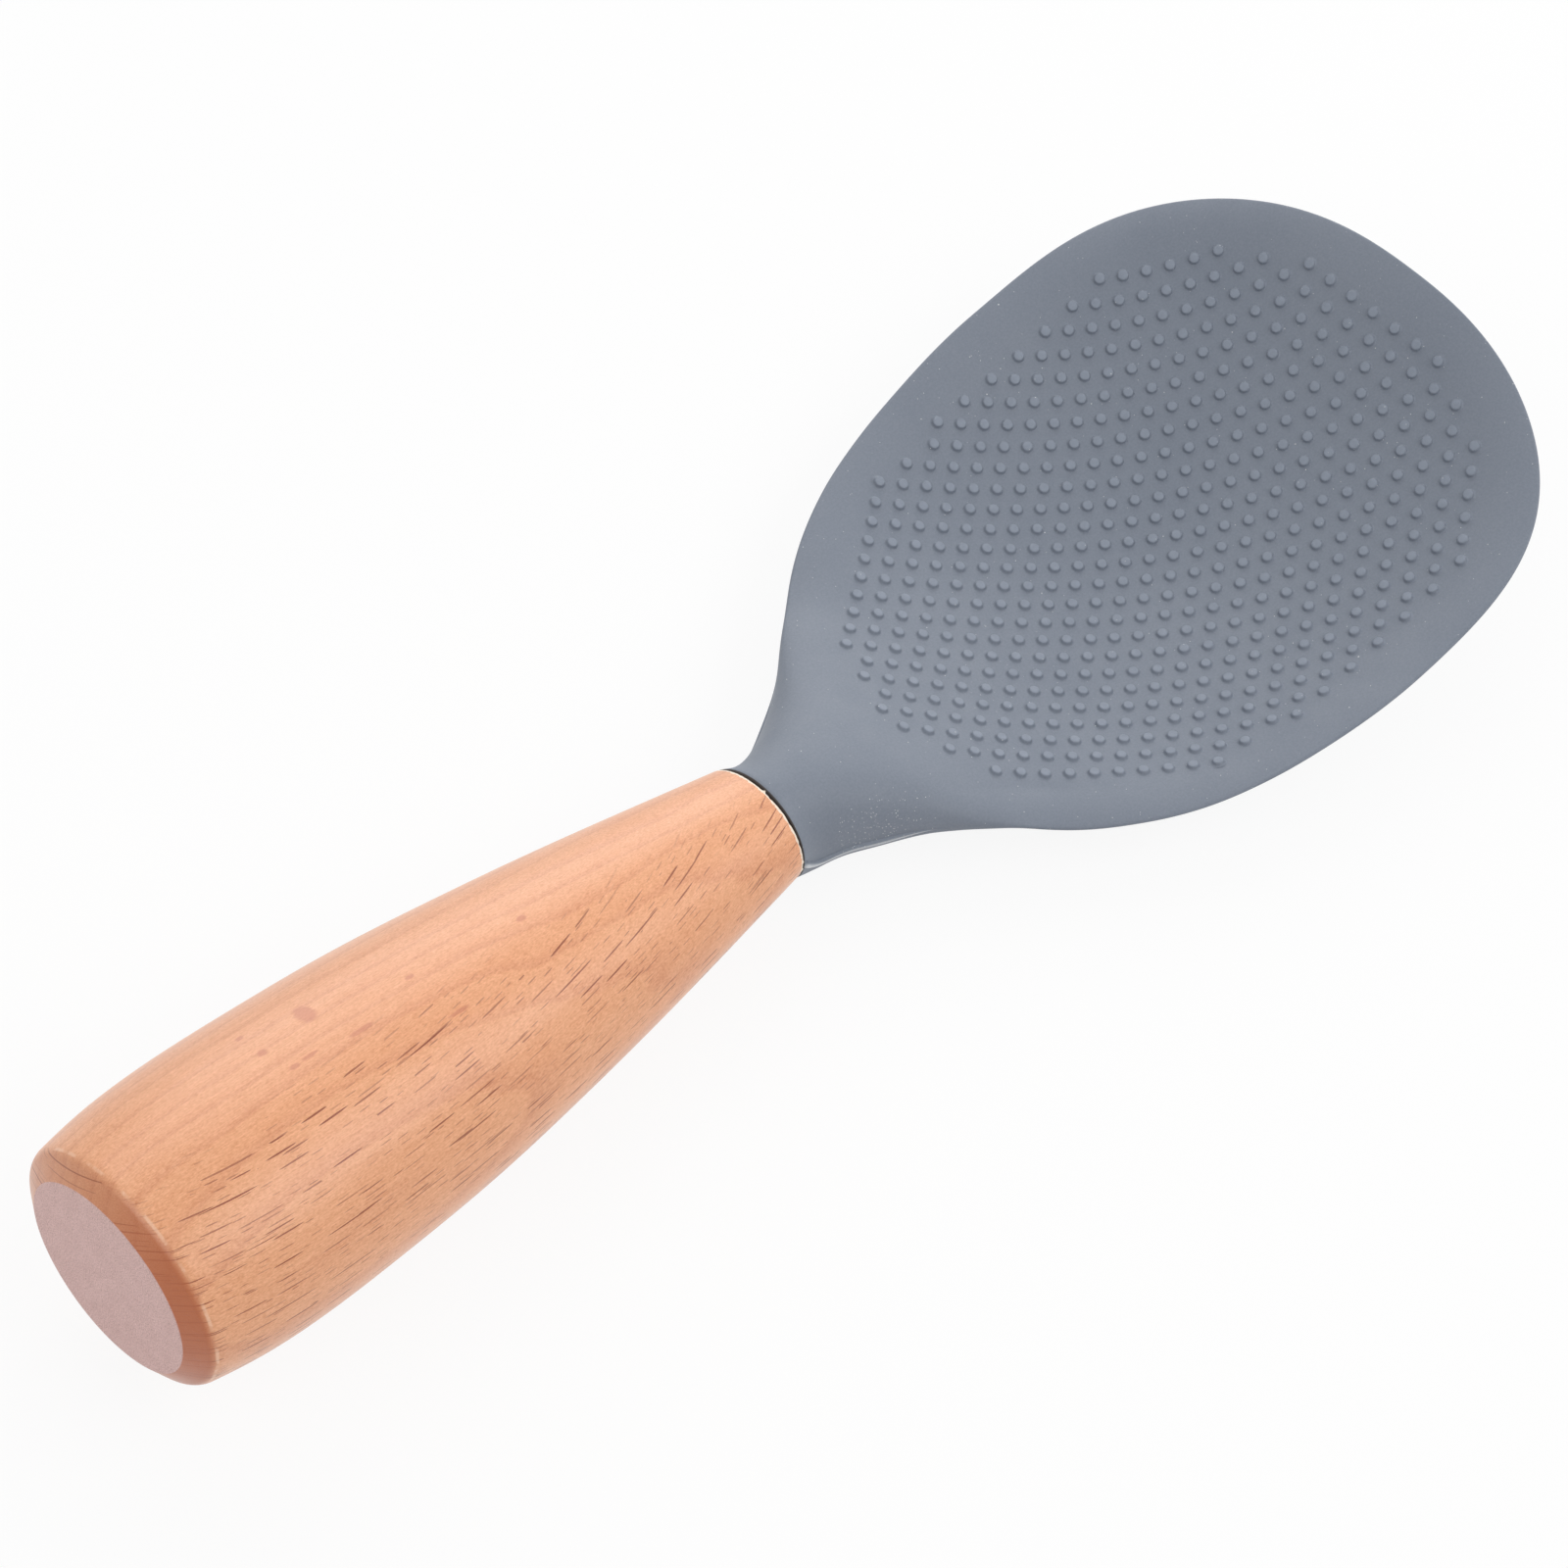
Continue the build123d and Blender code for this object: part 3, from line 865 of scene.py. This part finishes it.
# Broad rays seen from above: place in the handle's frame, then half sizes (mm)
BROAD_RAYS = (
    ((32.2, 5.7, 14.2), (1.3, 1.6, 3.0)),
    ((35.2, -0.2, 14.9), (1.9, 0.35, 2.0)),
    ((28.4, 0.6, 15.3), (1.2, 0.30, 2.0)),
    ((26.2, 0.5, 15.4), (0.8, 0.35, 2.0)),
    ((60.5, 1.2, 12.4), (0.8, 0.45, 2.0)),
    ((24.9, 4.3, 15.0), (0.7, 0.50, 2.0)),
    ((24.8, 8.0, 13.7), (0.6, 0.40, 2.0)),
    ((44.4, 2.2, 14.2), (0.7, 0.35, 2.0)),
    ((45.8, -4.5, 13.6), (1.8, 0.25, 2.0)),
)
BROAD_RAY_BROWN = (0.55, 0.165, 0.095)
RAGGED_SIZES = (0.8, 0.3, 0.3)
# Oil on the chamfer: from and to where past its depth it comes in, and across the handle (mm)
OILED = (0.46, 0.105, 0.022)
OIL_EDGE = (0.7, -0.4)
OIL_SIDES = (8.0, -12.0)
# Painted highlight along the chamfer's outer edge: place past its depth, half widths, size of the spots it
# breaks into (mm)
CHAMFER_EDGE_HIGHLIGHT = (0.98, 0.62, 0.42)
CHAMFER_HIGHLIGHT_LINE = 0.35
CHAMFER_HIGHLIGHT_HALF = (0.26, 0.08)
CHAMFER_HIGHLIGHT_SPOTS = (3.0, 2.2, 2.2)
# End grain of the butt: two tones, its grit, its pores and how deep it shows (mm)
END_TONES = ((0.62, 0.375, 0.345), (0.76, 0.49, 0.46))
END_TONE_SIZE = 2.4
GRIT_TONES = ((0.40, 0.24, 0.22), (1.0, 0.76, 0.72))
GRIT_SIZE = 0.20
PORE_SIZE = 0.42
PORE_BROWN = (0.26, 0.14, 0.11)
END_DEPTH = (0.10, 0.05)
# Front rim: raw wood with a jagged edge, its places short of the mouth (mm), and the painted shade of the
# gap inside it
RAW_WOOD = (0.95, 0.82, 0.68)
RAW_DEPTH = (0.12, 0.02)
JAGGED = 0.5
JAGGED_SIZE = 0.6
GAP_SHADE = (0.06, 0.035, 0.02)
GAP_INSIDE_SHARES = (0.985, 0.955)
GAP_DEPTH = (0.3, 0.2)
# Sanding marks across the grain (mm)
MARK_SIZES = (0.16, 1.4, 1.4)


def bowed_grain(tree, place):
    """Coordinates along, across and out from the grain, and the last of them by itself."""
    tilted = tree.nodes.new("ShaderNodeMapping")
    tilted.inputs["Rotation"].default_value = (math.radians(-PITH), 0, 0)
    tree.links.new(place, tilted.inputs["Vector"])
    along, across, radial = channels(tree, tilted.outputs[0])
    away = minus(tree, along, BOW_MIDDLE)
    bow = times(tree, times(tree, away, away), BOW)
    grain = tree.nodes.new("ShaderNodeCombineXYZ")
    plug(tree, grain.inputs[0], along)
    plug(tree, grain.inputs[1], minus(tree, across, bow))
    plug(tree, grain.inputs[2], radial)
    return grain.outputs[0], radial


def grained(tree, grain, radial):
    """Growth rings, in which slow wood darkens before quick wood starts afresh, clouds and fibres."""
    sway = noise(tree, sized(tree, grain, *SWAY_SIZES), 2)
    depth = plus(tree, radial, times(tree, sway, RING_SWAY))
    rings = ramp(tree, maths(tree, "FRACT", maths(tree, "DIVIDE", depth, RING_WIDTH)), *RING_STOPS)
    cloud = noise(tree, sized(tree, grain, *CLOUD_SIZES), 3)
    colour = mix(tree, 0.30, rings, spread(tree, cloud, *CLOUD_COLOURS, edge=0.35))
    for sizes, detail, rough, share, dark, light in GRAIN_LAYERS:
        layer = noise(tree, sized(tree, grain, *sizes), detail, rough)
        colour = mix(tree, share, colour, spread(tree, layer, dark, light))
    return colour


def ray_dashes(tree, grain):
    """How dark the rays' thin dashes are: none where the surface runs along the rays."""
    surface = tree.nodes.new("ShaderNodeNewGeometry")
    edge_on = vectors(tree, "DOT_PRODUCT", surface.outputs["Normal"], RAY_FLAT)
    cut_across = step(tree, maths(tree, "ABSOLUTE", edge_on), 0.93, 0.70)
    dashes = 0.0
    for sizes, slender, share, strength in DASH_LAYERS:
        vector = sized(tree, grain, *sizes)
        _, middle, random = cells(tree, vector)
        offset = vectors(tree, "MULTIPLY", vectors(tree, "SUBTRACT", vector, middle), (1.0, slender, 0.4))
        spot = step(tree, length(tree, offset), 0.38, 0.31)
        shown = maths(tree, "LESS_THAN", random[0], share)
        depth = plus(tree, times(tree, random[1], 0.55 * strength), 0.45 * strength)
        dashes = maths(tree, "MAXIMUM", dashes, times(tree, times(tree, spot, shown), depth))
    return times(tree, dashes, cut_across)


def broad_rayed(tree, place, grain, colour):
    """The colour with the few broad rays that lie nearly flat in the handle's top."""
    ragged = times(tree, noise(tree, sized(tree, grain, *RAGGED_SIZES), 2), 0.7)
    for centre, sizes in BROAD_RAYS:
        far = length(tree, sized(tree, vectors(tree, "SUBTRACT", place, centre), *sizes))
        patch = step(tree, plus(tree, far, ragged), 1.5, 1.0)
        colour = mix(tree, times(tree, patch, 0.55), colour, BROAD_RAY_BROWN)
    return colour


def chamfered(tree, place, along, aside, colour):
    """The chamfer drinks more oil, most on its near side, and its outer edge has a painted highlight here
    and there.
    """
    on_chamfer = step(tree, along, CHAMFER_DEPTH + OIL_EDGE[0], CHAMFER_DEPTH + OIL_EDGE[1])
    nearer = step(tree, aside, *OIL_SIDES)
    oil = times(tree, on_chamfer, plus(tree, times(tree, nearer, 0.55), 0.35))
    colour = mix(tree, oil, colour, OILED)
    # A painted highlight along the chamfer's outer edge, broken into spots
    from_line = maths(tree, "ABSOLUTE", minus(tree, along, CHAMFER_DEPTH + CHAMFER_HIGHLIGHT_LINE))
    spotty = step(tree, noise(tree, sized(tree, place, *CHAMFER_HIGHLIGHT_SPOTS), 3), 0.42, 0.60)
    edge_highlight = times(tree, step(tree, from_line, *CHAMFER_HIGHLIGHT_HALF), spotty)
    return mix(tree, times(tree, edge_highlight, 0.6), colour, CHAMFER_EDGE_HIGHLIGHT)


def end_grain(tree, place):
    """The colour of the butt's face: cloudy, gritty and pored."""
    colour = spread(tree, noise(tree, sized(tree, place, END_TONE_SIZE), 5, 0.7), *END_TONES)
    grit = noise(tree, sized(tree, place, GRIT_SIZE), 2)
    colour = mix(tree, 0.42, colour, spread(tree, grit, *GRIT_TONES, edge=0.32))
    distance, _, random = cells(tree, sized(tree, place, PORE_SIZE))
    pore = times(tree, step(tree, distance, 0.24, 0.10), maths(tree, "LESS_THAN", random[0], 0.35))
    return mix(tree, times(tree, pore, 0.6), colour, PORE_BROWN)


def rim_gap_shade(tree, place, along):
    """1 inside the front rim, where the gap's shade is painted dark."""
    across = vectors(tree, "MULTIPLY", place, (0.0, 1 / JOINT_WIDE, 1 / JOINT_HIGH))
    inside = step(tree, length(tree, across), *GAP_INSIDE_SHARES)
    return times(tree, inside, step(tree, along, LENGTH - GAP_DEPTH[0], LENGTH - GAP_DEPTH[1]))


def beech_material():
    """Lacquered beech: bowed grain, growth rings, dark rays, end grain on the butt, a raw rim."""
    mat, tree, bsdf = material("lacquered_beech")
    place = own_frame(tree, BUTT, REST_TURN - TILT)
    along, aside, _ = channels(tree, place)
    grain, radial = bowed_grain(tree, place)
    dashes = ray_dashes(tree, grain)
    colour = grained(tree, grain, radial)
    colour = mix(tree, times(tree, dashes, 0.95), colour, DASH_BROWN)
    colour = broad_rayed(tree, place, grain, colour)
    colour = chamfered(tree, place, along, aside, colour)
    end = step(tree, along, *END_DEPTH)
    colour = mix(tree, end, colour, end_grain(tree, place))
    jagged = times(tree, noise(tree, sized(tree, place, JAGGED_SIZE), 2), JAGGED)
    raw = step(tree, plus(tree, along, jagged), LENGTH - RAW_DEPTH[0], LENGTH - RAW_DEPTH[1])
    colour = mix(tree, raw, colour, RAW_WOOD)
    # Painted shade in the gap inside the front rim
    colour = mix(tree, rim_gap_shade(tree, place, along), colour, GAP_SHADE)
    tree.links.new(colour, bsdf.inputs["Base Color"])

    # Bare wood is dull, lacquered wood has a coat
    bare = maths(tree, "MAXIMUM", end, raw)
    fibre = noise(tree, sized(tree, grain, *FIBRE_SIZES), 2)
    rough = plus(tree, times(tree, bare, 0.25), spread(tree, fibre, 0.30, 0.40))
    tree.links.new(rough, bsdf.inputs["Roughness"])
    bsdf.inputs["Specular IOR Level"].default_value = 0.5
    tree.links.new(minus(tree, 0.25, times(tree, bare, 0.25)), bsdf.inputs["Coat Weight"])
    bsdf.inputs["Coat Roughness"].default_value = 0.22
    # Relief: open rays, fine fibres, and faint sanding marks across the grain
    marks = noise(tree, sized(tree, grain, *MARK_SIZES), 2)
    height = plus(tree, times(tree, fibre, 0.5), times(tree, marks, 0.5))
    relief(tree, bsdf, minus(tree, height, dashes), 0.5, 0.06)
    return mat


# Inner pieces: dark and light tone, least roughness
NYLON = ((0.050, 0.058, 0.066), (0.070, 0.078, 0.088), 0.5)
ADHESIVE = ((0.52, 0.42, 0.25), (0.66, 0.56, 0.36), 0.2)


def inner_material(name, dark, light, roughness):
    """Plain moulded or cured plastic, clouded and slightly uneven."""
    mat, tree, bsdf = material(name)
    place = own_frame(tree, REST_SHIFT, REST_TURN)
    clouded = spread(tree, noise(tree, sized(tree, place, 2.5), 4), dark, light)
    tree.links.new(clouded, bsdf.inputs["Base Color"])
    rough = spread(tree, noise(tree, sized(tree, place, 0.7), 3), roughness, roughness + 0.12)
    tree.links.new(rough, bsdf.inputs["Roughness"])
    relief(tree, bsdf, noise(tree, sized(tree, place, 0.12), 2), 0.15, 0.03)
    return mat


def assign(obj, mat):
    obj.data.materials.clear()
    obj.data.materials.append(mat)


assign(head, silicone_material())
assign(handle, beech_material())
assign(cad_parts["core_with_tang"], inner_material("moulded_nylon", *NYLON))
assign(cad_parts["glue_film"], inner_material("cured_adhesive", *ADHESIVE))


# Floor and room: half size of the floor (m), how far it glows to the eye, strength of the room's light
FLOOR_HALF = 6
FLOOR_GLOW = 0.9
FLOOR_WHITE = (0.9, 0.9, 0.9)
ROOM = 0.38


def shown_only(tree):
    """1 for the rays that show the background: to the camera, in gloss and through glass."""
    path = tree.nodes.new("ShaderNodeLightPath")
    seen = maths(tree, "MAXIMUM", path.outputs["Is Camera Ray"], path.outputs["Is Glossy Ray"])
    return maths(tree, "MAXIMUM", seen, path.outputs["Is Transmission Ray"])


def floor_material():
    """White to the eye, with the paddle's shadow left faint."""
    mat, tree, bsdf = material("white_table")
    plug(tree, bsdf.inputs["Base Color"], FLOOR_WHITE)
    bsdf.inputs["Roughness"].default_value = 0.9
    bsdf.inputs["Specular IOR Level"].default_value = 0.2
    glow = tree.nodes.new("ShaderNodeEmission")
    blend = tree.nodes.new("ShaderNodeMixShader")
    plug(tree, blend.inputs[0], times(tree, shown_only(tree), FLOOR_GLOW))
    tree.links.new(bsdf.outputs[0], blend.inputs[1])
    tree.links.new(glow.outputs[0], blend.inputs[2])
    tree.links.new(blend.outputs[0], tree.nodes["Material Output"].inputs["Surface"])
    return mat


def make_floor():
    signs = ((-1, -1), (1, -1), (1, 1), (-1, 1))
    data = bpy.data.meshes.new("floor")
    data.from_pydata([(FLOOR_HALF * x, FLOOR_HALF * y, 0) for x, y in signs], [], [(0, 1, 2, 3)])
    obj = bpy.data.objects.new("floor", data)
    bpy.context.scene.collection.objects.link(obj)
    assign(obj, floor_material())
    return obj


floor = make_floor()


def make_room():
    """A pale room: white to the eye, dimmer as a light."""
    world = bpy.data.worlds.new("pale_room")
    bpy.context.scene.world = world
    world.use_nodes = True
    tree = world.node_tree
    room = tree.nodes["Background"]
    plug(tree, room.inputs["Color"], (1, 1, 1))
    plug(tree, room.inputs["Strength"], plus(tree, times(tree, shown_only(tree), 1 - ROOM), ROOM))


make_room()

# Soft lamps round the paddle (m): how far off, what they face, and their sizes
LAMP_DISTANCE = 0.85
LAMP_TARGET = Vector((0, 0, 0.015))
SOFTBOX = (0.7, 0.5)
STRIP = (0.9, 0.35)


def lamp(name, azimuth, height, size, watts):
    """An area lamp at these angles (degrees) that faces the paddle."""
    a, h = math.radians(azimuth), math.radians(height)
    away = Vector((math.cos(h) * math.cos(a), math.cos(h) * math.sin(a), math.sin(h)))
    data = bpy.data.lights.new(name, "AREA")
    data.shape = "RECTANGLE"
    data.size, data.size_y = size
    data.energy = watts
    obj = bpy.data.objects.new(name, data)
    obj.location = away * LAMP_DISTANCE + LAMP_TARGET
    obj.rotation_euler = (-away).to_track_quat("-Z", "Y").to_euler()
    obj.visible_camera = False
    bpy.context.scene.collection.objects.link(obj)


lamp("softbox_front", -60, 45, SOFTBOX, 2.5)
lamp("softbox_handle", 180, 45, SOFTBOX, 1.6)
lamp("softbox_back", 60, 45, SOFTBOX, 1.6)
lamp("strip_back", 45, 18, STRIP, 1.65)
lamp("strip_tip", 0, 18, STRIP, 1.6)

# Camera, as fitted to the photograph: place (m), turn (degrees), lens and sensor (mm)
CAMERA_PLACE = (-0.247257, -0.197218, 0.434219)
CAMERA_TURN = (36.5034, -4.8063, -44.4867)
CAMERA_LENS = 100.866
CAMERA_SENSOR = 36.0


def make_camera():
    data = bpy.data.cameras.new("camera")
    data.sensor_fit = "HORIZONTAL"
    data.sensor_width = CAMERA_SENSOR
    data.lens = CAMERA_LENS
    data.clip_start, data.clip_end = 0.05, 50
    obj = bpy.data.objects.new("camera", data)
    obj.location = CAMERA_PLACE
    obj.rotation_euler = [math.radians(a) for a in CAMERA_TURN]
    bpy.context.scene.collection.objects.link(obj)
    bpy.context.scene.camera = obj


make_camera()
bpy.context.scene.view_settings.view_transform = "Standard"
